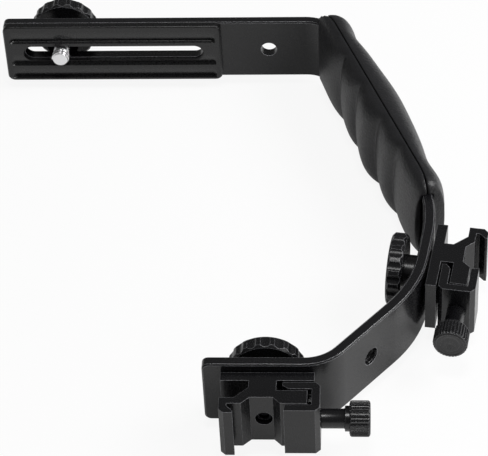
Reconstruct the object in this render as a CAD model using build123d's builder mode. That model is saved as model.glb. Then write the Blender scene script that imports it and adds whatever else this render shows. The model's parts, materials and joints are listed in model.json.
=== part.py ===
from build123d import *
import os
from math import cos, radians, sin

# Camera flash bracket, lying on its edge. +X runs right along the arms, +Y from the shoe arm
# to the camera plate and +Z along the strap's width. Millimetres.

# General clearances and the overrun of every cut
overrun = 2.0
seat_gap = 0.05
press_gap = 0.02
running_gap = 0.06

# Bent strap: lengths run from corner to corner of its centre line
strap_width = 23.2
strap_thickness = 3.5
plate_arm_length = 112.0
grip_run = 100.1
side_run = 37.7
slant_run = 42.1
shoe_arm_length = 36.0
plate_turn_angle = 69.5
side_turn_angle = 29.5
slant_turn_angle = 30.6
plate_bend_radius = 10.6
side_bend_radius = 53.0
slant_bend_radius = 45.0
shoe_bend_radius = 13.6
strap_corner_radius = 2.0
strap_edge_chamfer = 0.45

# Holes through the strap
slot_start = 6.7
slot_length = 62.2
slot_width = 6.0
plain_hole_from_bend = 20.3
plain_hole_radius = 2.75
tapped_hole_from_bend = 18.6
tapped_hole_radius = 2.9
shoe_hole_radius = 2.75
shoe_hole_from_bend = 17.7
side_hole_from_bend = 20.4

# Ribbed rubber pad on the camera plate
pad_past_slot = 6.4
pad_thickness = 2.1
pad_corner_radius = 2.4
pad_slot_width = 6.5
pad_end_margin = 3.0
pad_groove_depth = 1.2
pad_rib_crest_skin = 0.04
pad_groove_shares = (0.54, -0.30, -0.77)
pad_rib_width = 4.9

# Camera screw, its knob and washer
camera_screw_from_slot_end = 12.8
camera_thread_radius = 3.15
camera_thread_length = 3.0
camera_thread_past_pad = 0.15
camera_neck_radius = 2.7
camera_knob_standoff = 2.8
camera_washer_radius = 5.6
camera_washer_thickness = 0.8

# Scalloped knobs
knob_radius = 11.5
knob_rim_thickness = 4.7
knob_edge_chamfer = 0.8
knob_boss_radius = 5.0
knob_boss_length = 4.2
knob_scallops = 17
knob_scallop_radius = 2.8
knob_scallop_depth = 0.5
knob_bore_floor = 1.2

# Shoe: heights are counted out from the strap's face, widths across from the stud's axis
shoe_length = 18.0
washer_thickness = 0.5
washer_radius = 7.0
base_lip_side = 12.75
base_jaw_side = 14.65
base_top = 3.7
neck_lip_side = 4.4
neck_jaw_side = 3.7
arm_root_height = 6.5
arm_back_height = 10.45
arm_back_reach = 8.5
column_back_height = 7.6
column_reach = 12.7
ledge_height = 12.75
valley_height = 10.35
valley_lip_side = 3.9
valley_jaw_side = 2.8
ledge_lip_side = 6.35
ledge_jaw_side = 5.0
lip_outer = 12.7
lip_root = 10.4
lip_root_height = 13.8
lip_tip = 8.6
lip_tip_height = 15.7
lip_top = 16.4
lip_corner = 1.4
shoe_stud_radius = 2.5
shoe_stud_tip_height = 9.2

# Jaw, drawn shut; each one then stands open by its own amount
jaw_leg_back = 4.35
jaw_leg_front = 6.95
jaw_leg_tip = 4.3
jaw_leg_flat = 1.3
jaw_leg_bevel = 1.8
jaw_wall = 2.4
jaw_front_back = 13.2
jaw_front_top = 15.6
jaw_front_tip = 4.8
jaw_undercut = 0.3
jaw_corner = 1.4
jaw_hole_radius = 1.75
jaw_shut_gap = 0.1
top_jaw_open = 1.2
side_jaw_open = 0.45

# Thumb screw of a jaw
screw_stud_radius = 1.5
screw_stud_reach = 6.3
screw_hole_reach = 5.4
screw_stud_in_head = 9.0
screw_shank_radius = 2.9
screw_shank_length = 7.0
screw_collar_radius = 3.75
screw_collar_length = 1.3
screw_head_radius = 5.3
screw_head_length = 6.1
screw_head_chamfer = 0.5

# Rubber grip in two halves
grip_half_width = 16.0
grip_palm_depth = 10.3
grip_finger_depth = 7.6
grip_start = 1.8
grip_end_from_corner = 3.2
grip_lead = 6.0
grip_end_rounding = 3.0
grip_end_rounding_share = 0.90
grip_fullness_share = 0.66
grip_underlap = 3.4
grip_seam_gap = 0.24
grip_strap_gap = 0.1
grip_finger_end_from_corner = 2.9
grip_palm_end_from_corner = 2.8
# Each swell is a run of places along the grip and depths there, both shares of the whole
palm_swell_shares = (
    (
        (0.00, 0.57), (0.03, 0.75), (0.07, 0.77), (0.12, 0.70), (0.20, 0.80), (0.30, 0.90),
        (0.40, 0.98), (0.48, 1.00), (0.56, 0.96), (0.67, 0.87), (0.76, 0.75), (0.83, 0.64),
        (0.87, 0.63), (0.92, 0.67), (0.96, 0.62), (1.00, 0.49),
    ),
)
finger_swell_shares = (
    ((0.00, 0.60), (0.06, 0.72), (0.14, 0.79), (0.21, 0.72), (0.245, 0.54)),
    ((0.245, 0.54), (0.30, 0.74), (0.36, 0.82), (0.385, 0.77), (0.410, 0.57)),
    ((0.410, 0.57), (0.47, 0.84), (0.54, 1.00), (0.575, 0.92), (0.605, 0.57)),
    ((0.605, 0.57), (0.66, 0.76), (0.72, 0.85), (0.75, 0.77), (0.775, 0.56)),
    ((0.775, 0.56), (0.82, 0.70), (0.88, 0.79), (0.94, 0.79), (1.00, 0.68)),
)


def heading(degrees):
    """Unit vector in the flat plane at an angle from +X."""
    return Vector(cos(radians(degrees)), sin(radians(degrees)), 0)


def left_of(direction):
    """The direction turned a quarter turn anticlockwise: outwards from the bracket."""
    return Vector(-direction.Y, direction.X, 0)


# Directions of the five straight stretches, from the plate's free end to the shoe arm's
plate_way = heading(0)
grip_way = heading(-plate_turn_angle)
side_way = heading(-plate_turn_angle - side_turn_angle)
slant_way = heading(-plate_turn_angle - side_turn_angle - slant_turn_angle)
shoe_way = heading(180)

# Corners of the centre line, first from the plate's free end, then about the part's middle
loose_plate_corner = plate_way * plate_arm_length
loose_side_corner = loose_plate_corner + grip_way * grip_run
loose_side_hole = loose_side_corner + side_way * side_hole_from_bend
loose_slant_corner = loose_side_corner + side_way * side_run
loose_shoe_corner = loose_slant_corner + slant_way * slant_run
half_strap = strap_thickness / 2
pad_length = slot_start + slot_length + pad_past_slot
far_reach = half_strap + camera_knob_standoff + knob_boss_length + knob_rim_thickness
near_reach = loose_shoe_corner.Y - half_strap - lip_top
side_reach = (
    loose_side_hole + left_of(side_way) * (half_strap + lip_top) - side_way * lip_outer
).X
middle = Vector(side_reach / 2, (far_reach + near_reach) / 2, 0)

plate_end = Vector(0, 0, 0) - middle
plate_corner = loose_plate_corner - middle
side_corner = loose_side_corner - middle
slant_corner = loose_slant_corner - middle
shoe_corner = loose_shoe_corner - middle
shoe_end = shoe_corner + shoe_way * shoe_arm_length

# The strap's middle line lies this high, so that the widest piece stands on the ground
axis_height = grip_half_width
up = Vector(0, 0, 1)

# Points on the strap's faces where other pieces sit
plate_inner = plate_end - left_of(plate_way) * half_strap + up * axis_height
plate_outer = plate_end + left_of(plate_way) * half_strap + up * axis_height
slot_middle = slot_start + slot_length / 2
camera_screw_place = slot_start + camera_screw_from_slot_end
middle_line = up * axis_height
top_seat = shoe_corner + shoe_way * shoe_hole_from_bend + left_of(shoe_way) * half_strap + middle_line
side_seat = side_corner + side_way * side_hole_from_bend + left_of(side_way) * half_strap + middle_line
tapped_seat = shoe_corner - slant_way * tapped_hole_from_bend + left_of(slant_way) * half_strap + middle_line


def finish(builder, label):
    """Names a finished piece and writes its file."""
    builder.part.label = label
    export_step(builder.part, f"parts/{label}.step")


def strap_band(thickness, height):
    """Flat band of the given thickness along the strap's centre line, at a height."""
    with BuildSketch(Plane.XY.offset(height)) as band:
        with BuildLine():
            FilletPolyline(
                plate_end, plate_corner, side_corner, slant_corner, shoe_corner, shoe_end,
                radius=[plate_bend_radius, side_bend_radius, slant_bend_radius, shoe_bend_radius],
            )
        trace(line_width=thickness)
    return band.sketch


def make_strap():
    """The bent strap with its slot and holes."""
    with BuildPart() as strap:
        extrude(strap_band(strap_thickness, axis_height - strap_width / 2), amount=strap_width)
        ends = strap.edges().filter_by(Axis.Y)
        fillet(ends, strap_corner_radius)
        rims = strap.faces().filter_by(Axis.Z).edges()
        chamfer(rims, strap_edge_chamfer)
        through = strap_thickness + overrun * 2
        plate_face = Plane(plate_inner, x_dir=plate_way, z_dir=-left_of(plate_way))
        with BuildSketch(plate_face.offset(overrun)):
            with Locations((slot_middle, 0)):
                SlotOverall(slot_length, slot_width)
            with Locations((plate_arm_length - plain_hole_from_bend, 0)):
                Circle(plain_hole_radius)
        extrude(amount=-through, mode=Mode.SUBTRACT)
        for seat, way, radius in (
            (top_seat, shoe_way, shoe_hole_radius),
            (side_seat, side_way, shoe_hole_radius),
            (tapped_seat, slant_way, tapped_hole_radius),
        ):
            face = Plane(seat, x_dir=way, z_dir=left_of(way))
            with BuildSketch(face.offset(overrun)):
                Circle(radius)
            extrude(amount=-through, mode=Mode.SUBTRACT)
    finish(strap, "frame_strap")


def make_pad():
    """The rubber pad: rounded ribs along the plate, cut short of both ends, round a long slot."""
    pad_face = Plane(
        plate_inner + plate_way * (pad_length / 2), x_dir=plate_way, z_dir=-left_of(plate_way)
    )
    half = strap_width / 2
    front = pad_thickness
    with BuildPart() as pad:
        with BuildSketch(pad_face):
            RectangleRounded(pad_length, strap_width, pad_corner_radius)
            with Locations((slot_middle - pad_length / 2, 0)):
                SlotOverall(slot_length + pad_slot_width - slot_width, pad_slot_width, mode=Mode.SUBTRACT)
        extrude(amount=pad_thickness)
        groove_length = pad_length - pad_end_margin * 2
        groove_plane = Plane(
            pad_face.origin + plate_way * (groove_length / 2),
            x_dir=-left_of(plate_way), z_dir=plate_way,
        )
        for share in pad_groove_shares:
            root = share * half
            with BuildSketch(groove_plane):
                with BuildLine():
                    rise = pad_rib_width / 2
                    skin = front - pad_rib_crest_skin
                    floor = front - pad_groove_depth
                    slope = skin - pad_groove_depth / 4
                    above = ThreePointArc((skin, root + rise), (slope, root + rise / 2), (floor, root))
                    below = ThreePointArc((floor, root), (slope, root - rise / 2), (skin, root - rise))
                    clear = front + overrun
                    Polyline(below @ 1, (clear, root - rise), (clear, root + rise), above @ 0)
                make_face()
            extrude(amount=-groove_length, mode=Mode.SUBTRACT)
    finish(pad, "camera_pad")


def knob_plane(foot, outward):
    """Plane on the strap's face, looking away from it, for a knob or a screw."""
    return Plane(foot, x_dir=up, z_dir=outward)


def make_knob(label, face, standoff, bore_radius):
    """Scalloped knob: a fluted rim on a boss, with a blind bore for its screw."""
    rim_start = standoff + knob_boss_length
    with BuildPart() as knob:
        with BuildSketch(face.offset(standoff)):
            Circle(knob_boss_radius)
        extrude(amount=knob_boss_length)
        with BuildSketch(face.offset(rim_start)):
            Circle(knob_radius)
        extrude(amount=knob_rim_thickness)
        wide = knob.edges().filter_by(GeomType.CIRCLE).group_by(SortBy.RADIUS)[-1]
        chamfer(wide, knob_edge_chamfer)
        with BuildSketch(face.offset(rim_start)):
            with PolarLocations(knob_radius + knob_scallop_radius - knob_scallop_depth, knob_scallops):
                Circle(knob_scallop_radius)
        extrude(amount=knob_rim_thickness, mode=Mode.SUBTRACT)
        with BuildSketch(face.offset(standoff)):
            Circle(bore_radius)
        extrude(amount=knob_boss_length + knob_rim_thickness - knob_bore_floor, mode=Mode.SUBTRACT)
    finish(knob, label)


def make_camera_screw():
    """Camera screw, knob and washer, standing off the plate in the slot."""
    foot = plate_outer + plate_way * camera_screw_place
    outside = knob_plane(foot, left_of(plate_way))
    knob_inside = camera_knob_standoff + knob_boss_length + knob_rim_thickness - knob_bore_floor
    thread_start = -strap_thickness - pad_thickness - camera_thread_past_pad
    with BuildPart() as screw:
        with BuildSketch(outside.offset(thread_start)):
            Circle(camera_neck_radius)
        extrude(amount=knob_inside - thread_start - press_gap)
        with BuildSketch(outside.offset(thread_start - camera_thread_length)):
            Circle(camera_thread_radius)
        extrude(amount=camera_thread_length)
        tip = screw.faces().sort_by(Axis(foot, left_of(plate_way)))[0]
        chamfer(tip.edges(), camera_thread_radius / 8)
    finish(screw, "camera_screw")
    make_knob("camera_knob", outside, camera_knob_standoff, camera_neck_radius + press_gap)
    with BuildPart() as washer:
        with BuildSketch(outside):
            Circle(camera_washer_radius)
            Circle(camera_neck_radius + running_gap, mode=Mode.SUBTRACT)
        extrude(amount=camera_washer_thickness)
    finish(washer, "camera_washer")


def make_mount_knob(name, seat, outward):
    """Knob on the strap's inner face and its stud, which runs through to the shoe's valley."""
    inner = knob_plane(seat - outward * strap_thickness, -outward)
    make_knob(f"{name}_mount_knob", inner, seat_gap, shoe_stud_radius + press_gap)
    knob_inside = seat_gap + knob_boss_length + knob_rim_thickness - knob_bore_floor - press_gap
    stud_length = knob_inside + strap_thickness + shoe_stud_tip_height
    with BuildPart() as stud:
        with BuildSketch(inner.offset(knob_inside)):
            Circle(shoe_stud_radius)
        extrude(amount=-stud_length)
        tip = stud.faces().sort_by(Axis(seat, outward))[-1]
        chamfer(tip.edges(), shoe_stud_radius / 6)
    finish(stud, f"{name}_mount_stud")


def make_shoe_body(name, seat, across, outward):
    """Shoe extrusion: base, neck, hooked lip, valley and the column that the jaw slides over."""
    section = Plane(seat, x_dir=across, z_dir=across.cross(outward))
    with BuildPart() as body:
        with BuildSketch(section):
            with BuildLine():
                Polyline(
                    (-base_lip_side, washer_thickness), (base_jaw_side, washer_thickness),
                    (base_jaw_side, base_top), (neck_jaw_side, base_top),
                    (neck_jaw_side, column_back_height), (column_reach, column_back_height),
                    (column_reach, ledge_height), (ledge_jaw_side, ledge_height),
                    (valley_jaw_side, valley_height), (-valley_lip_side, valley_height),
                    (-ledge_lip_side, ledge_height), (-lip_root, ledge_height),
                    (-lip_root, lip_root_height), (-lip_tip, lip_tip_height), (-lip_tip, lip_top),
                    (-lip_outer + lip_corner, lip_top), (-lip_outer, lip_top - lip_corner),
                    (-lip_outer, arm_back_height), (-arm_back_reach, arm_back_height),
                    (-neck_lip_side, arm_root_height), (-neck_lip_side, base_top),
                    (-base_lip_side, base_top), close=True,
                )
            make_face()
        extrude(amount=shoe_length / 2, both=True)
        with BuildSketch(Plane(seat, x_dir=across, z_dir=outward)):
            Circle(shoe_stud_radius + running_gap)
        extrude(amount=valley_height + overrun, mode=Mode.SUBTRACT)
        screw_height = (column_back_height + ledge_height) / 2
        column_side = seat + outward * screw_height + across * column_reach
        with BuildSketch(Plane(column_side, x_dir=up, z_dir=across)):
            Circle(screw_stud_radius + running_gap)
        extrude(amount=screw_hole_reach - column_reach, mode=Mode.SUBTRACT)
    finish(body, f"{name}_shoe_body")
    with BuildPart() as washer:
        with BuildSketch(Plane(seat, x_dir=across, z_dir=outward)):
            Circle(washer_radius)
            Circle(shoe_stud_radius + running_gap, mode=Mode.SUBTRACT)
        extrude(amount=washer_thickness)
    finish(washer, f"{name}_friction_washer")


def make_jaw(name, seat, across, outward, opened):
    """C-shaped jaw: a back leg under the column, a cross wall and a front leg over the ledge."""
    section = Plane(seat, x_dir=across, z_dir=across.cross(outward))
    wall_in = column_reach + jaw_shut_gap + opened
    wall_out = wall_in + jaw_wall
    leg_tip = jaw_leg_tip + opened
    front_tip = jaw_front_tip + opened
    with BuildPart() as jaw:
        with BuildSketch(section):
            with BuildLine():
                Polyline(
                    (leg_tip, jaw_leg_back), (wall_out - jaw_corner, jaw_leg_back),
                    (wall_out, jaw_leg_back + jaw_corner), (wall_out, jaw_front_top - jaw_corner),
                    (wall_out - jaw_corner, jaw_front_top), (front_tip, jaw_front_top),
                    (front_tip + jaw_undercut, jaw_front_back), (wall_in, jaw_front_back),
                    (wall_in, jaw_leg_front), (leg_tip + jaw_leg_bevel, jaw_leg_front),
                    (leg_tip, jaw_leg_back + jaw_leg_flat), close=True,
                )
            make_face()
        extrude(amount=shoe_length / 2, both=True)
        screw_height = (column_back_height + ledge_height) / 2
        wall_face = seat + outward * screw_height + across * (wall_in - overrun)
        with BuildSketch(Plane(wall_face, x_dir=up, z_dir=across)):
            Circle(jaw_hole_radius)
        extrude(amount=jaw_wall + overrun * 2, mode=Mode.SUBTRACT)
    finish(jaw, f"{name}_shoe_jaw")


def make_thumbscrew(name, seat, across, outward, opened):
    """Thumb screw: a head, collar and shank on a thin stud that screws into the column."""
    screw_height = (column_back_height + ledge_height) / 2
    wall_out = column_reach + jaw_shut_gap + opened + jaw_wall
    shank_start = wall_out + seat_gap
    head_end = shank_start + screw_shank_length + screw_collar_length + screw_head_length
    axis_point = seat + outward * screw_height
    stud_end = shank_start + screw_stud_in_head
    with BuildPart() as head:
        for start, length, radius in (
            (shank_start, screw_shank_length, screw_shank_radius),
            (shank_start + screw_shank_length, screw_collar_length, screw_collar_radius),
            (head_end - screw_head_length, screw_head_length, screw_head_radius),
        ):
            with BuildSketch(Plane(axis_point + across * start, x_dir=up, z_dir=across)):
                Circle(radius)
            extrude(amount=length)
        wide = head.edges().filter_by(GeomType.CIRCLE).group_by(SortBy.RADIUS)[-1]
        chamfer(wide, screw_head_chamfer)
        with BuildSketch(Plane(axis_point + across * shank_start, x_dir=up, z_dir=across)):
            Circle(screw_stud_radius + press_gap)
        extrude(amount=screw_stud_in_head + press_gap, mode=Mode.SUBTRACT)
    finish(head, f"{name}_thumbscrew_head")
    stud_tip = screw_stud_reach + opened
    with BuildPart() as stud:
        with BuildSketch(Plane(axis_point + across * stud_tip, x_dir=up, z_dir=across)):
            Circle(screw_stud_radius)
        extrude(amount=stud_end - stud_tip)
        tip = stud.faces().sort_by(Axis(axis_point, across))[0]
        chamfer(tip.edges(), screw_stud_radius / 6)
    finish(stud, f"{name}_thumbscrew_stud")


def make_shoe(name, seat, across, outward, opened):
    """One clamping shoe with its jaw, thumb screw, mounting knob and stud."""
    make_shoe_body(name, seat, across, outward)
    make_jaw(name, seat, across, outward, opened)
    make_thumbscrew(name, seat, across, outward, opened)
    make_mount_knob(name, seat, outward)


# The grip's sections stand square to the strap between the plate's and the side's corners
grip_length = grip_run - grip_start - grip_end_from_corner
grip_base = plate_corner + up * axis_height


def end_rounding(along):
    """Width share of a section: the grip draws in a little towards both ends."""
    to_end = min(along - grip_start, grip_run - grip_end_from_corner - along)
    near_end = min(1, max(0, 1 - to_end / grip_end_rounding)) ** 2
    return 1 - (1 - grip_end_rounding_share) * near_end


def make_grip_half(label, swells, whole_depth, side, lead):
    """One half of the grip: lofted, then cleared of the strap and parted along its middle."""
    full = grip_fullness_share
    clear_thickness = strap_thickness + grip_strap_gap * 2
    clear_width = strap_width + grip_strap_gap * 2
    cut_width = grip_half_width * 2 + overrun * 2
    with BuildPart() as block:
        for swell in swells:
            for place, share in swell:
                along = grip_start + place * grip_length
                if place == 0:
                    along = along - lead
                depth = share * whole_depth
                half = grip_half_width * end_rounding(along)
                section = Plane(grip_base + grip_way * along, x_dir=left_of(grip_way) * side, z_dir=grip_way)
                with BuildSketch(section):
                    with BuildLine():
                        Bezier((0, -half), (depth * full, -half), (depth, -half * full), (depth, 0))
                        Bezier((depth, 0), (depth, half * full), (depth * full, half), (0, half))
                        Polyline((0, half), (-grip_underlap, half), (-grip_underlap, -half), (0, -half))
                    make_face()
            loft()
        extrude(
            strap_band(clear_thickness, axis_height - clear_width / 2),
            amount=clear_width, mode=Mode.SUBTRACT,
        )
        extrude(
            strap_band(grip_seam_gap, axis_height - cut_width / 2),
            amount=cut_width, mode=Mode.SUBTRACT,
        )
        end_plane = Plane.XZ.offset(grip_palm_end_from_corner - plate_corner.Y)
        if lead > 0:
            end_plane = Plane.YZ.offset(plate_corner.X - grip_finger_end_from_corner)
        split(bisect_by=end_plane, keep=Keep.TOP)
    with BuildPart() as half:
        add(block.part.solids().sort_by(SortBy.VOLUME)[-1])
    finish(half, label)


os.makedirs("parts", exist_ok=True)
make_strap()
make_pad()
make_camera_screw()
make_shoe("top", top_seat, -shoe_way, left_of(shoe_way), top_jaw_open)
make_shoe("side", side_seat, side_way, left_of(side_way), side_jaw_open)
make_grip_half("grip_palm_half", palm_swell_shares, grip_palm_depth, 1, 0)
make_grip_half("grip_finger_half", finger_swell_shares, grip_finger_depth, -1, grip_lead)
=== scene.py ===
# %% [markdown]
# # A camera flash bracket, dressed for its photograph
# The real object is a flat black strap bent into a C. A camera sits on the ribbed pad of the long arm, a
# hand holds the moulded rubber grip, and two clamping shoes carry a flash or a lamp. The solids of every
# piece come from the CAD model and stay where they are. This lesson gives them their finishes, and makes in
# Blender what solids leave out: threads, knurling, grain and the soft skin of the grip.

# %% Load the frame
import json
import math

import bmesh
import bpy
from mathutils import Matrix, Quaternion, Vector


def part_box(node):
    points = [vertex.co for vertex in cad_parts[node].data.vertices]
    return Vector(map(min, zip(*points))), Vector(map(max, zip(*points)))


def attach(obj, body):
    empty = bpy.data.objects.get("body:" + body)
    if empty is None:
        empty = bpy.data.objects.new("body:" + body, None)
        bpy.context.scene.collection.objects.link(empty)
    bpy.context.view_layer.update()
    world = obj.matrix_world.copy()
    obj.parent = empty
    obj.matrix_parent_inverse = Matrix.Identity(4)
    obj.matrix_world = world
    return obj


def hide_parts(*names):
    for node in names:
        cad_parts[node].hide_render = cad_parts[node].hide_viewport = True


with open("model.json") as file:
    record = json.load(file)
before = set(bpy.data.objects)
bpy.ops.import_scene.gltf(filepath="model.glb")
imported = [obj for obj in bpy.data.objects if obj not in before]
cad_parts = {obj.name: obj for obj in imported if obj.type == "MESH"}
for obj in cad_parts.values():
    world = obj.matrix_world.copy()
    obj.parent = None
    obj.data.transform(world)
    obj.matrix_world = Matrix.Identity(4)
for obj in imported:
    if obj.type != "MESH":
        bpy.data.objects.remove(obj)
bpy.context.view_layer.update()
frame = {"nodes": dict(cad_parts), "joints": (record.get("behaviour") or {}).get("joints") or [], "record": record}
nodes = frame["nodes"]
joints = {joint["name"]: joint for joint in frame["joints"]}
MM = 0.001


# %% Helpers for objects and meshes
def add_object(name, data):
    """A new object in the scene."""
    item = bpy.data.objects.new(name, data)
    bpy.context.scene.collection.objects.link(item)
    return item


def as_mesh(shape, name):
    """Turns a bmesh into a new mesh and frees it."""
    mesh = bpy.data.meshes.new(name)
    shape.to_mesh(mesh)
    shape.free()
    return mesh


def applied_mesh(item, name):
    """The mesh that an object's modifiers make of it. The object is removed."""
    mesh = bpy.data.meshes.new_from_object(item.evaluated_get(bpy.context.evaluated_depsgraph_get()))
    mesh.name = name
    bpy.data.objects.remove(item)
    return mesh


# %% [markdown]
# ## The camera
# The photograph was taken from high in front with a long lens, so the far arm looks hardly smaller than the
# near one. An orbit angle, a height angle, a small roll and a distance say that more plainly than a matrix
# would.

# %% Camera
camera_orbit = math.radians(4.71)
camera_height = math.radians(42.26)
camera_roll = math.radians(-3.2)
camera_distance = 721.6 * MM
look_at = Vector((5.28, -9.49, 16.0)) * MM
photo_width_px = 488
focal_px = 2280
sensor_mm = 36.0

back = Vector((
    math.sin(camera_orbit) * math.cos(camera_height),
    -math.cos(camera_orbit) * math.cos(camera_height),
    math.sin(camera_height),
))
camera = add_object("camera", bpy.data.cameras.new("camera"))
camera.data.sensor_width = sensor_mm
camera.data.lens = focal_px / photo_width_px * sensor_mm
camera.data.clip_start = 0.05
camera.data.clip_end = 20.0
camera.rotation_mode = "QUATERNION"
camera.rotation_quaternion = back.to_track_quat("Z", "Y") @ Quaternion((0, 0, 1), camera_roll)
camera.location = look_at + back * camera_distance
bpy.context.scene.camera = camera
print("camera lens", round(camera.data.lens, 1), "mm")

# %% [markdown]
# ## Colours and nodes
# Colours are written as the sRGB hex values that a colour picker shows, and one function turns them into
# the linear numbers that shaders work with. A second function adds any shader or geometry node with its
# settings and links, so that each material below reads as a short list of what its surface does.


# %% Helpers for colours and nodes
def linear(hex_colour, alpha=1.0):
    """An sRGB hex colour as the linear RGBA that Blender's sockets take."""
    parts = [int(hex_colour[i:i + 2], 16) / 255 for i in (1, 3, 5)]
    parts = [c / 12.92 if c <= 0.04045 else ((c + 0.055) / 1.055) ** 2.4 for c in parts]
    return (*parts, alpha)


def add_node(tree, kind, inputs=None, **settings):
    """Adds a node, applies its settings, and sets or links its inputs by name or number."""
    node = tree.nodes.new(kind)
    for name, value in settings.items():
        setattr(node, name, value)
    for key, value in (inputs or {}).items():
        if isinstance(value, bpy.types.NodeSocket):
            tree.links.new(value, node.inputs[key])
        else:
            node.inputs[key].default_value = value
    return node


def blank_material(name):
    """A new material with an empty tree and its output node."""
    material = bpy.data.materials.new(name)
    material.use_nodes = True
    material.node_tree.nodes.clear()
    output = add_node(material.node_tree, "ShaderNodeOutputMaterial")
    return material, material.node_tree, output


def dress(material, *names):
    """Puts a material on the CAD nodes that stay in view."""
    for name in names:
        nodes[name].data.materials.clear()
        nodes[name].data.materials.append(material)


# %% [markdown]
# ## Black anodised aluminium
# The strap and the shoes are aluminium, blasted with fine beads and anodised black. The dye sits in a hard
# clear oxide layer, so the surface shades like dark plastic with a satin gloss rather than like bare metal:
# a nearly black base, metallic at 0 and a fairly low roughness. The blasting leaves a grain of about a
# tenth of a millimetre. It is too fine to show here, so it is drawn about three times as coarse. The real
# edges are broken by a fraction of a millimetre and catch the light, so a Bevel node rounds their look and
# a mask paints a pale highlight on them.

# %% Broken edges
# The edge mask rises as the rounded normal turns away from the true one; these are cosines of that turn.
EDGE_TURN = (0.985, 0.88)
# It also asks how open the surroundings are, which tells an outer edge from an inner corner.
EDGE_OPENNESS = (0.7, 0.95)
GRAIN_DEPTH_MM = 0.05


def broken_edges(tree, edge_mm):
    """A softened normal, and a mask that is 1 on outer edges and 0 on faces and in inner corners."""
    bevel = add_node(tree, "ShaderNodeBevel", {"Radius": edge_mm * MM}, samples=6)
    surface = add_node(tree, "ShaderNodeNewGeometry")
    turned = add_node(tree, "ShaderNodeVectorMath", {
        0: bevel.outputs["Normal"], 1: surface.outputs["Normal"],
    }, operation="DOT_PRODUCT")
    edge = add_node(tree, "ShaderNodeMapRange", {
        "Value": turned.outputs["Value"], "From Min": EDGE_TURN[0], "From Max": EDGE_TURN[1],
    })
    openness = add_node(tree, "ShaderNodeAmbientOcclusion", {"Distance": edge_mm * MM}, samples=4)
    outer = add_node(tree, "ShaderNodeMapRange", {
        "Value": openness.outputs["AO"], "From Min": EDGE_OPENNESS[0], "From Max": EDGE_OPENNESS[1],
    })
    mask = add_node(tree, "ShaderNodeMath", {
        0: edge.outputs["Result"], 1: outer.outputs["Result"],
    }, operation="MULTIPLY")
    return bevel.outputs["Normal"], mask.outputs["Value"]


def edged_surface(tree, output, colour, gloss, height, grain_bump, edge_highlight_colour, edge_mm, **inputs):
    """Ends a material with a fine grain, broken edges with a painted highlight and the Principled shader."""
    edge_normal, edge_highlight_mask = broken_edges(tree, edge_mm)
    bump = add_node(tree, "ShaderNodeBump", {
        "Strength": grain_bump, "Distance": GRAIN_DEPTH_MM * MM, "Height": height, "Normal": edge_normal,
    })
    # Painted highlight: a pale colour laid over the base colour along outer edges, where light would catch.
    edge_highlighted_colour = add_node(tree, "ShaderNodeMix", {
        0: edge_highlight_mask, 6: colour, 7: linear(edge_highlight_colour),
    }, data_type="RGBA")
    shader = add_node(tree, "ShaderNodeBsdfPrincipled", {
        "Base Color": edge_highlighted_colour.outputs[2], "Roughness": gloss, "Normal": bump.outputs["Normal"], **inputs,
    })
    tree.links.new(shader.outputs["BSDF"], output.inputs["Surface"])


# %% Anodised finish
CLOUD_MM = 14


def anodised(
    name, colour, worn_colour, edge_highlight_colour, roughness, grain_mm, grain_bump, edge_mm, streak=(1, 1, 1),
):
    """Satin black anodised aluminium with blasted grain, faint cloudiness and broken edges with a painted
    highlight.
    """
    material, tree, output = blank_material(name)
    place = add_node(tree, "ShaderNodeTexCoord")
    grain_place = add_node(
        tree, "ShaderNodeMapping", {"Vector": place.outputs["Object"], "Scale": streak},
    )
    grain = add_node(tree, "ShaderNodeTexNoise", {
        "Vector": grain_place.outputs["Vector"], "Scale": 1 / (grain_mm * MM), "Detail": 3.0,
        "Roughness": 0.6,
    })
    clouds = add_node(tree, "ShaderNodeTexNoise", {
        "Vector": place.outputs["Object"], "Scale": 1 / (CLOUD_MM * MM), "Detail": 4.0, "Roughness": 0.55,
    })
    tint = add_node(tree, "ShaderNodeMapRange", {
        "Value": clouds.outputs["Fac"], "From Min": 0.3, "From Max": 0.75,
    })
    colour_mix = add_node(tree, "ShaderNodeMix", {
        0: tint.outputs["Result"], 6: linear(colour), 7: linear(worn_colour),
    }, data_type="RGBA")
    gloss = add_node(tree, "ShaderNodeMapRange", {
        "Value": grain.outputs["Fac"], "From Min": 0.25, "From Max": 0.75,
        "To Min": roughness - 0.06, "To Max": roughness + 0.06,
    })
    edged_surface(
        tree, output, colour_mix.outputs[2], gloss.outputs["Result"], grain.outputs["Fac"], grain_bump,
        edge_highlight_colour, edge_mm, IOR=1.5,
    )
    return material


# The third colour of each finish is a painted highlight along its broken edges.
strap_finish = anodised(
    "strap_black_anodised_sheet", "#0e0e10", "#131315", "#a4a4a8",
    roughness=0.25, grain_mm=0.3, grain_bump=0.08, edge_mm=0.28,
)
# The extruding die draws its lines along Z, so the grain of the shoes is stretched that way.
shoe_finish = anodised(
    "shoe_black_anodised_extrusion", "#0b0b0d", "#111113", "#909094",
    roughness=0.25, grain_mm=0.3, grain_bump=0.1, edge_mm=0.2, streak=(1, 1, 0.15),
)
head_finish = anodised(
    "thumbscrew_black_anodised_turned", "#0b0b0d", "#111113", "#808084",
    roughness=0.27, grain_mm=0.25, grain_bump=0.15, edge_mm=0.08,
)
dress(strap_finish, "frame_strap")
dress(shoe_finish, "top_shoe_body", "side_shoe_body", "top_shoe_jaw", "side_shoe_jaw")
print("anodised finishes ready")

# %% [markdown]
# ## Rubber
# The grip is moulded from soft rubber in a tool with a leather-like grain. Its skin is dark with a dull
# gloss, so its roughness is higher than the metal's, and the grain is cells of a little under a millimetre
# with shallow valleys between them, at their real size. The ribbed pad is a harder rubber with a plainer,
# smoother skin.

# %% Rubber finishes
WANDER_MM, WANDER_REACH_MM = 1.6, 0.5
TOOTH_MM = 0.45
BLOOM_MM = 9
PEBBLE_DEPTH_MM = 0.2


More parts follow.
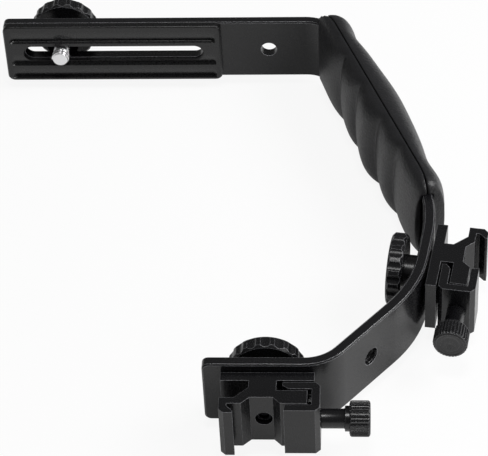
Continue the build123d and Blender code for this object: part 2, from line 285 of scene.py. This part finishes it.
def moulded_rubber(
    name, colour, dusty_colour, speckle_colour, speckle_share, roughness, cell_mm, cell_bump, fine_bump,
):
    """Moulded rubber with a pebbled skin, a fine tooth over it and a faint dusty bloom."""
    material, tree, output = blank_material(name)
    place = add_node(tree, "ShaderNodeTexCoord")
    wander = add_node(tree, "ShaderNodeTexNoise", {
        "Vector": place.outputs["Object"], "Scale": 1 / (WANDER_MM * MM), "Detail": 2.0,
    })
    wander_scaled = add_node(tree, "ShaderNodeVectorMath", {
        0: wander.outputs["Color"], "Scale": WANDER_REACH_MM * MM,
    }, operation="SCALE")
    cell_place = add_node(tree, "ShaderNodeVectorMath", {
        0: place.outputs["Object"], 1: wander_scaled.outputs["Vector"],
    }, operation="ADD")
    cells = add_node(tree, "ShaderNodeTexVoronoi", {
        "Vector": cell_place.outputs["Vector"], "Scale": 1 / (cell_mm * MM), "Randomness": 1.0,
    }, feature="SMOOTH_F1")
    fine = add_node(tree, "ShaderNodeTexNoise", {
        "Vector": place.outputs["Object"], "Scale": 1 / (TOOTH_MM * MM), "Detail": 4.0, "Roughness": 0.7,
    })
    speckle = add_node(tree, "ShaderNodeMapRange", {
        "Value": fine.outputs["Fac"], "From Min": 0.48, "From Max": 0.72, "To Max": speckle_share,
    })
    bloom = add_node(tree, "ShaderNodeTexNoise", {
        "Vector": place.outputs["Object"], "Scale": 1 / (BLOOM_MM * MM), "Detail": 5.0, "Roughness": 0.6,
    })
    bloom_range = add_node(tree, "ShaderNodeMapRange", {
        "Value": bloom.outputs["Fac"], "From Min": 0.35, "From Max": 0.75,
    })
    colour_mix = add_node(tree, "ShaderNodeMix", {
        0: bloom_range.outputs["Result"], 6: linear(colour), 7: linear(dusty_colour),
    }, data_type="RGBA")
    speckled = add_node(tree, "ShaderNodeMix", {
        0: speckle.outputs["Result"], 6: colour_mix.outputs[2], 7: linear(speckle_colour),
    }, data_type="RGBA")
    gloss = add_node(tree, "ShaderNodeMapRange", {
        "Value": cells.outputs["Distance"], "From Min": 0.0, "From Max": 0.8,
        "To Min": roughness - 0.08, "To Max": roughness + 0.08,
    })
    pebbles = add_node(tree, "ShaderNodeBump", {
        "Strength": cell_bump, "Distance": PEBBLE_DEPTH_MM * MM, "Height": cells.outputs["Distance"],
    }, invert=True)
    tooth = add_node(tree, "ShaderNodeBump", {
        "Strength": fine_bump, "Distance": PEBBLE_DEPTH_MM * MM, "Height": fine.outputs["Fac"],
        "Normal": pebbles.outputs["Normal"],
    })
    shader = add_node(tree, "ShaderNodeBsdfPrincipled", {
        "Base Color": speckled.outputs[2], "Roughness": gloss.outputs["Result"], "IOR": 1.52,
        "Normal": tooth.outputs["Normal"],
    })
    tree.links.new(shader.outputs["BSDF"], output.inputs["Surface"])
    return material


grip_rubber = moulded_rubber(
    "grip_soft_rubber_leather_grain", "#151517", "#1d1d1f", "#2e2e30",
    speckle_share=0.6, roughness=0.38, cell_mm=0.7, cell_bump=0.5, fine_bump=0.5,
)
pad_rubber = moulded_rubber(
    "pad_ribbed_rubber", "#0d0d0e", "#111112", "#161618",
    speckle_share=0.3, roughness=0.3, cell_mm=0.6, cell_bump=0.05, fine_bump=0.05,
)
print("rubber finishes ready")

# %% [markdown]
# ## Moulded nylon, steel and fibre
# The thumbwheels are glass-filled nylon: a grey-black plastic with a faintly frosted skin. The camera screw
# is nickel-plated steel, a true metal, so it keeps the default IOR and its look comes from what it mirrors.
# The studs are steel with a thin black oxide, and the friction washers are dull pressed fibre. The frost of
# all of them is finer than 0.1 mm on the real surfaces and is drawn three to four times as coarse, so that
# it shows.

# %% Nylon, steel and fibre finishes
def frosted(name, colour, spot_colour, edge_highlight_colour, roughness, metallic, grain_mm, grain_bump, edge_mm):
    """A plain moulded or plated surface with a fine frost and soft edges with a painted highlight."""
    material, tree, output = blank_material(name)
    place = add_node(tree, "ShaderNodeTexCoord")
    frost = add_node(tree, "ShaderNodeTexNoise", {
        "Vector": place.outputs["Object"], "Scale": 1 / (grain_mm * MM), "Detail": 4.0, "Roughness": 0.65,
    })
    colour_mix = add_node(tree, "ShaderNodeMix", {
        0: frost.outputs["Fac"], 6: linear(colour), 7: linear(spot_colour),
    }, data_type="RGBA")
    gloss = add_node(tree, "ShaderNodeMapRange", {
        "Value": frost.outputs["Fac"], "From Min": 0.3, "From Max": 0.7,
        "To Min": roughness - 0.05, "To Max": roughness + 0.05,
    })
    edged_surface(
        tree, output, colour_mix.outputs[2], gloss.outputs["Result"], frost.outputs["Fac"], grain_bump,
        edge_highlight_colour, edge_mm, Metallic=metallic,
    )
    return material


# The third colour of each finish is a painted highlight along its soft edges.
knob_nylon = frosted(
    "knob_glass_filled_nylon", "#0b0b0d", "#131315", "#98989c",
    roughness=0.26, metallic=0.0, grain_mm=0.35, grain_bump=0.25, edge_mm=0.25,
)
nickel_steel = frosted(
    "camera_screw_nickel_plated_steel", "#f6f6f7", "#ededee", "#fbfbfb",
    roughness=0.24, metallic=1.0, grain_mm=0.4, grain_bump=0.08, edge_mm=0.08,
)
oxide_steel = frosted(
    "stud_black_oxide_steel", "#1e1e20", "#161618", "#6a6a6c",
    roughness=0.3, metallic=1.0, grain_mm=0.3, grain_bump=0.15, edge_mm=0.1,
)
washer_fibre = frosted(
    "washer_pressed_fibre", "#121213", "#1a1a1b", "#1e1e20",
    roughness=0.7, metallic=0.0, grain_mm=0.3, grain_bump=0.4, edge_mm=0.1,
)
dress(knob_nylon, "camera_knob", "top_mount_knob", "side_mount_knob")
dress(nickel_steel, "top_thumbscrew_stud", "side_thumbscrew_stud")
dress(oxide_steel, "camera_washer")
dress(washer_fibre, "top_friction_washer", "side_friction_washer")
print("nylon, steel and fibre finishes ready")

# %% [markdown]
# ## Turned pieces
# The thumb screw heads and the screws come off a lathe, so each is a profile of distances along an axis and
# of radii, spun round that axis. The joints of the frame say where each axis runs, and the CAD node says
# where along it the piece begins and ends, so nothing has to be measured by eye.


# %% Lathe and placing helpers
def axis_of(joint_name):
    """A point on a joint's axis, and the axis as a unit vector."""
    joint = joints[joint_name]
    return Vector(joint["pos_m"]), Vector(joint["axis"]).normalized()


def reach(node_name, point, axis):
    """How far a CAD node runs along an axis from a point: its lowest and highest distance."""
    along = [(vertex.co - point).dot(axis) for vertex in nodes[node_name].data.vertices]
    return min(along), max(along)


def lay_along(piece, point, axis):
    """Turns a piece made along +Z so that it runs from a point along an axis, in its mesh."""
    turn = axis.to_track_quat("Z", "Y").to_matrix().to_4x4()
    piece.data.transform(Matrix.Translation(point) @ turn)
    piece.data.update()


def new_piece(name, mesh, material, body):
    """A mesh as a finished piece, with its material, riding on its body."""
    piece = add_object(name, mesh)
    mesh.materials.clear()
    mesh.materials.append(material)
    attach(piece, body)
    return piece


def lathe(name, profile_mm, segments=96):
    """Spins a profile of (distance, radius) pairs round +Z, closed at both ends."""
    shape = bmesh.new()
    rings = []
    for along, radius in profile_mm:
        if radius == 0:
            rings.append([shape.verts.new((0, 0, along * MM))])
            continue
        ring = []
        for step in range(segments):
            angle = 2 * math.pi * step / segments
            ring.append(shape.verts.new((
                radius * MM * math.cos(angle), radius * MM * math.sin(angle), along * MM,
            )))
        rings.append(ring)
    for low, high in zip(rings, rings[1:]):
        for step in range(segments):
            following = (step + 1) % segments
            if len(low) == 1:
                shape.faces.new((low[0], high[step], high[following]))
            elif len(high) == 1:
                shape.faces.new((low[step], high[0], low[following]))
            else:
                shape.faces.new((low[step], low[following], high[following], high[step]))
    bmesh.ops.recalc_face_normals(shape, faces=shape.faces)
    mesh = as_mesh(shape, name)
    smooth_by_angle(mesh)
    return mesh


def smooth_by_angle(mesh, degrees=28):
    """Smooth shading everywhere but over edges sharper than an angle."""
    shape = bmesh.new()
    shape.from_mesh(mesh)
    for face in shape.faces:
        face.smooth = True
    for edge in shape.edges:
        edge.smooth = not edge.is_manifold or edge.calc_face_angle(0) < math.radians(degrees)
    shape.to_mesh(mesh)
    shape.free()


# %% [markdown]
# ## Ribs and threads by Geometry Nodes
# Knurling is one rib repeated round a circle, and a thread is one ridge swept along a spiral. Both follow a
# rule, so Geometry Nodes make them: a small tree with its sizes as named inputs. The result is turned into
# a plain mesh at once, because the export keeps meshes and drops instances.


# %% Geometry Nodes helpers
def start_tree(name, sizes):
    """A geometry tree with a named number input for each size, and its input and output nodes."""
    tree = bpy.data.node_groups.new(name, "GeometryNodeTree")
    tree.interface.new_socket("Geometry", in_out="INPUT", socket_type="NodeSocketGeometry")
    for label, value in sizes.items():
        kind = "NodeSocketInt" if isinstance(value, int) else "NodeSocketFloat"
        tree.interface.new_socket(label, in_out="INPUT", socket_type=kind).default_value = value
    tree.interface.new_socket("Geometry", in_out="OUTPUT", socket_type="NodeSocketGeometry")
    return tree, add_node(tree, "NodeGroupInput"), add_node(tree, "NodeGroupOutput")


def end_tree(tree, output, geometry, material):
    """Closes a tree: instances become a mesh, and the mesh gets its material."""
    realized = add_node(tree, "GeometryNodeRealizeInstances", {"Geometry": geometry})
    finished = add_node(tree, "GeometryNodeSetMaterial", {
        "Geometry": realized.outputs["Geometry"], "Material": material,
    })
    tree.links.new(finished.outputs["Geometry"], output.inputs["Geometry"])


def grow(name, tree, sizes):
    """Runs a tree with the given sizes and returns its result as a plain mesh."""
    carrier = add_object(name + "_carrier", bpy.data.meshes.new(name + "_carrier"))
    modifier = carrier.modifiers.new("grow", "NODES")
    modifier.node_group = tree
    for item in tree.interface.items_tree:
        if item.in_out == "INPUT" and item.name in sizes:
            modifier[item.identifier] = sizes[item.name]
    return applied_mesh(carrier, name)


# %% Thread tree
THREAD_SIZES = {
    "Radius": 3.0 * MM, "Pitch": 1.27 * MM, "Turns": 3.0, "Ridge": 0.4 * MM, "Steps per turn": 48,
}


def thread_tree(name, material):
    """A right-hand ridge along a spiral that rises by one pitch each turn."""
    tree, given, output = start_tree(name, THREAD_SIZES)
    size = given.outputs
    height = add_node(tree, "ShaderNodeMath", {0: size["Pitch"], 1: size["Turns"]}, operation="MULTIPLY")
    spiral = add_node(tree, "GeometryNodeCurveSpiral", {
        "Resolution": size["Steps per turn"], "Rotations": size["Turns"], "Reverse": True,
        "Start Radius": size["Radius"], "End Radius": size["Radius"], "Height": height.outputs["Value"],
    })
    upright = add_node(
        tree, "GeometryNodeSetCurveNormal", {"Curve": spiral.outputs["Curve"]}, mode="Z_UP",
    )
    ridge = add_node(tree, "GeometryNodeCurvePrimitiveCircle", {"Resolution": 4, "Radius": size["Ridge"]})
    swept = add_node(tree, "GeometryNodeCurveToMesh", {
        "Curve": upright.outputs["Curve"], "Profile Curve": ridge.outputs["Curve"], "Fill Caps": True,
    })
    end_tree(tree, output, swept.outputs["Mesh"], material)
    return tree


def thread_mesh(name, material, radius, pitch, length, ridge):
    """One thread as a mesh along +Z, in millimetres, starting at 0."""
    return grow(name, thread_tree(name + "_tree", material), {
        "Radius": radius * MM, "Pitch": pitch * MM, "Turns": length / pitch, "Ridge": ridge * MM,
    })


# %% [markdown]
# ## The camera screw
# A quarter-inch tripod screw has twenty threads to the inch, one every 1.27 mm. Its end stands out of the
# slot as the only bright thing on the bracket. The lathe makes the neck and the core of the thread with a
# rounded tip, and the thread tree winds the ridge on.

# %% Camera screw
screw_point, screw_axis = axis_of("camera_screw_spin")
low, high = (distance / MM for distance in reach("camera_screw", screw_point, screw_axis))
neck_radius, shoulder_slope = 2.7, 0.05
thread_run, thread_pitch = 3.0, 1.27
core_radius, outer_thread_radius, ridge_size = 2.62, 3.15, 0.5
tip_round, tip_bulge = 0.35, 0.12
shoulder_at = low + thread_run
screw_mesh = lathe("camera_screw_core", [
    (low, 0), (low, core_radius - tip_round), (low + tip_bulge, core_radius - tip_bulge),
    (low + tip_round, core_radius), (shoulder_at, core_radius), (shoulder_at + shoulder_slope, neck_radius),
    (high, neck_radius), (high, 0),
])
screw_core = new_piece("camera_screw_core", screw_mesh, nickel_steel, "camera_screw_unit")
lay_along(screw_core, screw_point, screw_axis)
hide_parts("camera_screw")

thread_length = thread_run - 2 * ridge_size
screw_thread = new_piece(
    "camera_screw_thread",
    thread_mesh(
        "camera_screw_thread", nickel_steel, outer_thread_radius - ridge_size, thread_pitch, thread_length,
        ridge_size,
    ),
    nickel_steel, "camera_screw_unit",
)
lay_along(screw_thread, screw_point + screw_axis * (low + ridge_size) * MM, screw_axis)
print("camera screw", round(high - low, 2), "mm long")

# %% [markdown]
# ## The thumb screws
# Each jaw is drawn tight by a screw with a straight-knurled head. The knurling tool presses about thirty
# ribs into the head, whose ends fall away at a small chamfer, and the turning tool dishes the face of the
# head and leaves faint rings in it.


# %% Rib tree
def rib_mesh(length_mm, width_mm, height_mm):
    """One knurl rib along +Z that stands out along +X, with sloping ends."""
    shape = bmesh.new()
    across = [(-0.5, 0.0), (-0.32, 0.68), (0.0, 1.0), (0.32, 0.68), (0.5, 0.0)]
    fall, end_rise, foot = 0.45, 0.1, -0.35
    sections = [(0, end_rise), (fall, 1.0), (length_mm - fall, 1.0), (length_mm, end_rise)]
    rings = []
    for along, rise in sections:
        ring = [shape.verts.new((foot * MM, across[0][0] * width_mm * MM, along * MM))]
        for side, out in across:
            ring.append(shape.verts.new((out * height_mm * rise * MM, side * width_mm * MM, along * MM)))
        ring.append(shape.verts.new((foot * MM, across[-1][0] * width_mm * MM, along * MM)))
        rings.append(ring)
    for first, second in zip(rings, rings[1:]):
        for step in range(len(first)):
            following = (step + 1) % len(first)
            shape.faces.new((first[step], first[following], second[following], second[step]))
    shape.faces.new(rings[0][::-1])
    shape.faces.new(rings[-1])
    bmesh.ops.recalc_face_normals(shape, faces=shape.faces)
    return as_mesh(shape, "knurl_rib")


def rib_tree(name, rib, material):
    """Ribs set round a circle, each facing outwards."""
    tree, given, output = start_tree(name, {"Radius": 5.0 * MM, "Ribs": 32})
    circle = add_node(tree, "GeometryNodeMeshCircle", {
        "Vertices": given.outputs["Ribs"], "Radius": given.outputs["Radius"],
    })
    position = add_node(tree, "GeometryNodeInputPosition")
    facing = add_node(tree, "FunctionNodeAlignRotationToVector", {
        "Vector": position.outputs["Position"],
    }, axis="X", pivot_axis="Z")
    rib_info = add_node(tree, "GeometryNodeObjectInfo", {"Object": rib})
    set_round = add_node(tree, "GeometryNodeInstanceOnPoints", {
        "Points": circle.outputs["Mesh"], "Instance": rib_info.outputs["Geometry"],
        "Rotation": facing.outputs["Rotation"],
    })
    end_tree(tree, output, set_round.outputs["Instances"], material)
    return tree


# %% Thumb screws
shank_radius, shank_length, shank_chamfer = 2.9, 7.0, 0.25
collar_radius, collar_length, collar_round = 3.75, 1.3, 0.12
head_radius, knurl_depth, head_chamfer = 5.3, 0.34, 0.4
rib_count, rib_inset, rib_share, rib_sink = 32, 0.15, 0.82, 0.02
head_core = head_radius - knurl_depth
# How far each ring of the face lies below the head's end, and its radius.
face_rings = [
    (0.08, head_core - 0.3), (0.0, head_core - 0.45), (0.0, head_core - 0.75), (0.12, head_core - 0.95),
    (0.12, 2.9), (0.15, 2.84), (0.12, 2.78), (0.15, 1.6), (0.19, 1.54), (0.16, 1.48), (0.22, 0.3), (0.3, 0),
]
for shoe in ("top", "side"):
    point, axis = axis_of(f"{shoe}_thumbscrew_spin")
    low, high = (distance / MM for distance in reach(f"{shoe}_thumbscrew_head", point, axis))
    collar = low + shank_length
    knurl = collar + collar_length
    profile = [
        (low, 0), (low, shank_radius - shank_chamfer), (low + shank_chamfer, shank_radius),
        (collar - 0.35, shank_radius), (collar - 0.1, shank_radius + 0.12), (collar, shank_radius + 0.35),
        (collar, collar_radius - collar_round), (collar + collar_round, collar_radius),
        (knurl - 0.1, collar_radius), (knurl, collar_radius), (knurl, head_core - 0.55),
        (knurl + head_chamfer, head_core), (high - head_chamfer, head_core),
    ]
    profile += [(high - below, radius) for below, radius in face_rings]
    head = new_piece(
        f"{shoe}_thumbscrew_turned", lathe(f"{shoe}_thumbscrew_turned", profile), head_finish,
        f"{shoe}_thumbscrew",
    )
    lay_along(head, point, axis)
    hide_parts(f"{shoe}_thumbscrew_head")

    rib_length = high - knurl - 2 * rib_inset
    rib_width = 2 * math.pi * head_core / rib_count * rib_share
    rib = add_object("knurl_rib", rib_mesh(rib_length, rib_width, knurl_depth))
    tree = rib_tree(f"{shoe}_knurl_tree", rib, head_finish)
    knurling = new_piece(
        f"{shoe}_thumbscrew_knurling",
        grow(f"{shoe}_thumbscrew_knurling", tree, {"Radius": (head_core - rib_sink) * MM, "Ribs": rib_count}),
        head_finish, f"{shoe}_thumbscrew",
    )
    bpy.data.objects.remove(rib)
    lay_along(knurling, point + axis * (knurl + rib_inset) * MM, axis)
    print(shoe, "thumb screw", round(high - low, 1), "mm,", len(knurling.data.polygons), "faces of knurling")

# %% [markdown]
# ## Studs and the threaded hole
# The mounting studs are 5 mm screws with a pitch of 0.8 mm, whose drilled ends show at the bottom of each
# shoe's valley. The slanting run of the strap has a quarter-inch threaded hole, so its thread is wound the
# same way but set into the wall, with only the inner half of the ridge standing out of it.

# %% Stud ends
stud_pitch, stud_radius, stud_ridge, stud_thread_length = 0.8, 2.5, 0.3, 8.0
core = stud_radius - stud_ridge
# How far each ring lies below the stud's end, and its radius: a chamfer, then the drilled dimple.
drilled_end = [(0.3, core), (0.0, core - 0.35), (0.0, 1.6), (0.25, 1.35), (1.3, 1.25), (1.7, 0)]
for shoe in ("top", "side"):
    point, axis = axis_of(f"{shoe}_shoe_swivel")
    low, high = (distance / MM for distance in reach(f"{shoe}_mount_stud", point, axis))
    stud_profile = [(low, 0), (low, core)] + [(high - below, radius) for below, radius in drilled_end]
    stud_mesh = lathe(f"{shoe}_stud_core", stud_profile, segments=64)
    stud = new_piece(f"{shoe}_stud_core", stud_mesh, oxide_steel, f"{shoe}_knob")
    lay_along(stud, point, axis)
    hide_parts(f"{shoe}_mount_stud")
    stud_thread = new_piece(
        f"{shoe}_stud_thread",
        thread_mesh(
            f"{shoe}_stud_thread", oxide_steel, core, stud_pitch, stud_thread_length, stud_ridge,
        ),
        oxide_steel, f"{shoe}_knob",
    )
    lay_along(stud_thread, point + axis * (high - stud_ridge - stud_thread_length) * MM, axis)
print("stud ends ready")

# %% Threaded hole in the slanting run
hole = next(mount for mount in frame["record"]["mounts"] if mount["name"] == "slant_threaded_hole")
hole_radius = hole["dims"]["r_mm"]
hole_axis = Vector(hole["axis"]).normalized()
wall_ridge, ridge_in_wall, end_room = 0.42, 0.08, 0.05
wall_thread_length = hole["dims"]["length_mm"] - 2 * (wall_ridge + end_room)
hole_thread = new_piece(
    "slant_hole_thread",
    thread_mesh(
        "slant_hole_thread", strap_finish, hole_radius + ridge_in_wall, thread_pitch, wall_thread_length,
        wall_ridge,
    ),
    strap_finish, "bracket",
)
lay_along(hole_thread, Vector(hole["pos_m"]) - hole_axis * (wall_thread_length / 2) * MM, hole_axis)
print("hole thread", round(wall_thread_length, 2), "mm")

# %% [markdown]
# ## The rubber grip
# The CAD halves have the right form, but they are made of flat facets with crisp edges. Moulded rubber has
# neither. Each half is copied, its loose triangles are joined, and a fine voxel remesh and a little
# smoothing turn it into one soft skin whose edges are rounded by half a millimetre.

# %% Grip skins
SKIN_VOXEL_MM = 0.42
SKIN_SMOOTHING = 2


def rubber_skin(node_name, piece_name):
    """A soft, closed skin in place of a CAD node, from its own triangles."""
    shape = bmesh.new()
    shape.from_mesh(nodes[node_name].data)
    bmesh.ops.remove_doubles(shape, verts=shape.verts, dist=0.002 * MM)
    carrier = add_object(piece_name + "_carrier", as_mesh(shape, piece_name + "_joined"))
    remesh = carrier.modifiers.new("skin", "REMESH")
    remesh.mode = "VOXEL"
    remesh.voxel_size = SKIN_VOXEL_MM * MM
    smooth = carrier.modifiers.new("smooth", "SMOOTH")
    smooth.factor = 0.5
    smooth.iterations = SKIN_SMOOTHING
    mesh = applied_mesh(carrier, piece_name)
    for polygon in mesh.polygons:
        polygon.use_smooth = True
    piece = new_piece(piece_name, mesh, grip_rubber, "bracket")
    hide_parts(node_name)
    print(piece_name, len(mesh.polygons), "faces")


rubber_skin("grip_finger_half", "grip_finger_skin")
rubber_skin("grip_palm_half", "grip_palm_skin")

# %% [markdown]
# ## The ribbed pad
# The camera stands on a moulded rubber pad with three grooves. Each sinks in softly from above, ends below
# in a steep wall with a crisp edge and stops short of the pad's ends. Such a form is easiest as a field of
# depths: a fine grid whose points are pushed in by formulas for the grooves and the rounded rim. Two
# booleans then cut the grid's block to the pad's outline and open its slot.

# %% Pad skin
PAD_CORNER_MM = 2.4
PAD_RIM_MM = 0.6
PAD_SLOT_MM = (62.7, 6.5)
PAD_SLOT_FROM_END_MM = 37.8
# Each groove's soft beginning and its crisp edge, as heights over the pad's middle.
PAD_GROOVES_MM = ((9.6, 4.5), (-0.2, -5.0), (-5.9, -10.6))
PAD_GROOVE_DEPTH_MM = 1.15
PAD_GROOVE_CURVE = 1.6
PAD_GROOVE_WALL_MM = 0.3
PAD_GROOVE_END_MM = (2.0, 2.8)
PAD_GRID_MM = (0.5, 0.15)
PAD_BLOCK_OVER_MM = 0.5


def soft_step(value):
    """0 below 0, 1 above 1 and an even S between."""
    value = min(max(value, 0.0), 1.0)
    return value * value * (3 - 2 * value)


def depth_inside(u, v, half_u, half_v, radius):
    """How far a point lies inside a rectangle with round corners; below 0 outside."""
    out_u, out_v = abs(u) - (half_u - radius), abs(v) - (half_v - radius)
    return radius - math.hypot(max(out_u, 0), max(out_v, 0)) - min(max(out_u, out_v), 0)


def rim(distance, radius):
    """Depth of a rounded rim at a distance from its edge."""
    gone = min(max(1 - distance / radius, 0.0), 1.0)
    return radius * (1 - math.sqrt(1 - gone * gone))


def pad_depth(u, v, half_u, half_v):
    """Depth of the pad's face below its highest plane, in millimetres from the pad's middle."""
    end_from, end_to = PAD_GROOVE_END_MM
    deepest = PAD_GROOVE_DEPTH_MM * soft_step((half_u - abs(u) - end_from) / (end_to - end_from))
    depth = rim(depth_inside(u, v, half_u, half_v, PAD_CORNER_MM), PAD_RIM_MM)
    for top, bottom in PAD_GROOVES_MM:
        turn = bottom + PAD_GROOVE_WALL_MM
        if turn <= v < top:
            depth += deepest * ((top - v) / (top - turn)) ** PAD_GROOVE_CURVE
        elif bottom < v < turn:
            depth += deepest * (v - bottom) / PAD_GROOVE_WALL_MM
    return depth


def prism(name, half_u, half_v, radius, thickness, middle, corner_steps=16):
    """A rounded rectangle in X and Z, drawn out along Y on both sides of its middle, as an object."""
    outline = []
    for turn, (side_u, side_v) in enumerate(((1, 1), (-1, 1), (-1, -1), (1, -1))):
        for step in range(corner_steps + 1):
            angle = math.pi / 2 * (turn + step / corner_steps)
            outline.append((
                side_u * (half_u - radius) + radius * math.cos(angle),
                side_v * (half_v - radius) + radius * math.sin(angle),
            ))
    shape = bmesh.new()
    face = shape.faces.new([
        shape.verts.new(middle + Vector((u, -thickness, v)) * MM) for u, v in outline
    ])
    drawn = bmesh.ops.extrude_face_region(shape, geom=[face])
    moved = [item for item in drawn["geom"] if isinstance(item, bmesh.types.BMVert)]
    bmesh.ops.translate(shape, verts=moved, vec=(0, 2 * thickness * MM, 0))
    bmesh.ops.remove_doubles(shape, verts=shape.verts, dist=0.001 * MM)
    bmesh.ops.recalc_face_normals(shape, faces=shape.faces)
    return add_object(name, as_mesh(shape, name))


def pad_block(name, middle, half_u, half_v, thickness):
    """The pad's block with its field of depths in front, a little larger than its outline."""
    reach_u, reach_v = half_u + PAD_BLOCK_OVER_MM, half_v + PAD_BLOCK_OVER_MM
    columns = round(reach_u * 2 / PAD_GRID_MM[0])
    rows = round(reach_v * 2 / PAD_GRID_MM[1])
    shape = bmesh.new()
    front, rear = [], []
    for row in range(rows + 1):
        v = (row / rows * 2 - 1) * reach_v
        for column in range(columns + 1):
            u = (column / columns * 2 - 1) * reach_u
            depth = pad_depth(u, v, half_u, half_v)
            front.append(shape.verts.new(middle + Vector((u, depth - thickness / 2, v)) * MM))
            if row in (0, rows) or column in (0, columns):
                rear.append((row, column, shape.verts.new(middle + Vector((u, thickness / 2, v)) * MM)))
    at = {(row, column): vertex for row, column, vertex in rear}
    wide = columns + 1
    for row in range(rows):
        for column in range(columns):
            first = row * wide + column
            shape.faces.new((front[first], front[first + 1], front[first + wide + 1], front[first + wide]))
    border = [(0, column) for column in range(columns)] + [(row, columns) for row in range(rows)]
    border += [(rows, column) for column in range(columns, 0, -1)] + [(row, 0) for row in range(rows, 0, -1)]
    for here, there in zip(border, border[1:] + border[:1]):
        first, second = here[0] * wide + here[1], there[0] * wide + there[1]
        shape.faces.new((front[second], front[first], at[here], at[there]))
    shape.faces.new([at[place] for place in border])
    bmesh.ops.recalc_face_normals(shape, faces=shape.faces)
    return add_object(name, as_mesh(shape, name))


def in_order(mesh):
    """Lists a mesh's points and faces by place, because a boolean lists them differently each run."""
    shape = bmesh.new()
    shape.from_mesh(mesh)
    listings = (
        (shape.verts, lambda vertex: vertex.co[:]),
        (shape.faces, lambda face: face.calc_center_median()[:]),
    )
    for items, place in listings:
        ranks = {item: rank for rank, item in enumerate(sorted(items, key=place))}
        items.sort(key=ranks.get)
    shape.to_mesh(mesh)
    shape.free()


pad_low, pad_high = (Vector(corner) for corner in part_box("camera_pad"))
pad_middle = (pad_low + pad_high) / 2
pad_size = (pad_high - pad_low) / MM
half_length, half_height = pad_size.x / 2, pad_size.z / 2
slot_offset = PAD_SLOT_FROM_END_MM - half_length
block = pad_block("pad_block", pad_middle, half_length, half_height, pad_size.y)
outline_cutter = prism("pad_outline", half_length, half_height, PAD_CORNER_MM, pad_size.y, pad_middle)
slot_cutter = prism(
    "pad_slot", PAD_SLOT_MM[0] / 2, PAD_SLOT_MM[1] / 2, PAD_SLOT_MM[1] / 2, pad_size.y,
    pad_middle + Vector((slot_offset * MM, 0, 0)),
)
for cutter, operation in ((outline_cutter, "INTERSECT"), (slot_cutter, "DIFFERENCE")):
    cut = block.modifiers.new(cutter.name, "BOOLEAN")
    cut.object = cutter
    cut.operation = operation
    cut.solver = "EXACT"
pad_mesh = applied_mesh(block, "camera_pad_skin")
for cutter in (outline_cutter, slot_cutter):
    bpy.data.objects.remove(cutter)
in_order(pad_mesh)
smooth_by_angle(pad_mesh)
pad_skin = new_piece("camera_pad_skin", pad_mesh, pad_rubber, "bracket")
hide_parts("camera_pad")
print("pad skin", len(pad_mesh.polygons), "faces")

# %% [markdown]
# ## Floor, light and backdrop
# The photograph is a cut-out on white. The Light Path node makes the floor shine white for the camera, and
# a little in reflections, and leaves it an ordinary pale surface for everything else, so it still takes a
# soft shadow. Three soft lamps and a dim plain world stand in for a light tent.

# %% Floor and world
CAMERA_WHITE = 0.9
MIRRORED_WHITE = 0.15


def white_floor(name):
    """Pale floor that keeps a faint shadow and otherwise shows as white."""
    material, tree, output = blank_material(name)
    path = add_node(tree, "ShaderNodeLightPath")
    mirrored = add_node(tree, "ShaderNodeMath", {
        0: path.outputs["Is Glossy Ray"], 1: path.outputs["Is Transmission Ray"],
    }, operation="ADD")
    mirrored_share = add_node(tree, "ShaderNodeMath", {
        0: mirrored.outputs["Value"], 1: MIRRORED_WHITE,
    }, operation="MULTIPLY")
    share = add_node(tree, "ShaderNodeMath", {
        0: path.outputs["Is Camera Ray"], 1: CAMERA_WHITE, 2: mirrored_share.outputs["Value"],
    }, operation="MULTIPLY_ADD")
    matt = add_node(tree, "ShaderNodeBsdfDiffuse", {"Color": linear("#f4f4f4")})
    glow = add_node(tree, "ShaderNodeEmission", {"Color": (1, 1, 1, 1), "Strength": 1.0})
    mix = add_node(tree, "ShaderNodeMixShader", {
        0: share.outputs["Value"], 1: matt.outputs["BSDF"], 2: glow.outputs["Emission"],
    })
    tree.links.new(mix.outputs["Shader"], output.inputs["Surface"])
    return material


floor_half = 3.0
floor_mesh = bpy.data.meshes.new("floor")
floor_mesh.from_pydata(
    [(-floor_half, -floor_half, 0), (floor_half, -floor_half, 0),
     (floor_half, floor_half, 0), (-floor_half, floor_half, 0)],
    [], [(0, 1, 2, 3)],
)
floor_mesh.materials.append(white_floor("pale_floor"))
floor = add_object("floor", floor_mesh)

world = bpy.data.worlds.new("light_tent")
world.use_nodes = True
bpy.context.scene.world = world
sky = world.node_tree.nodes["Background"]
sky.inputs["Color"].default_value = (1, 1, 1, 1)
sky.inputs["Strength"].default_value = 0.16
print("floor and world ready")


# %% Lamps
def softbox(name, place, size, watts):
    """A square area lamp at a place, turned to the middle of the bracket."""
    lamp = add_object(name, bpy.data.lights.new(name, "AREA"))
    lamp.data.shape = "SQUARE"
    lamp.data.size = size
    lamp.data.energy = watts
    lamp.location = place
    lamp.rotation_mode = "QUATERNION"
    lamp.rotation_quaternion = (Vector(place) - look_at).to_track_quat("Z", "Y")


softbox("key_softbox", (0.44, 0.0, 0.42), 0.3, 2.5)
softbox("front_softbox", (0.79, -0.79, 0.45), 0.5, 1.6)
softbox("overhead_softbox", (0.05, -0.3, 1.15), 0.25, 4.0)
print("lamps ready")

# %% View transform
bpy.context.scene.view_settings.view_transform = "Standard"
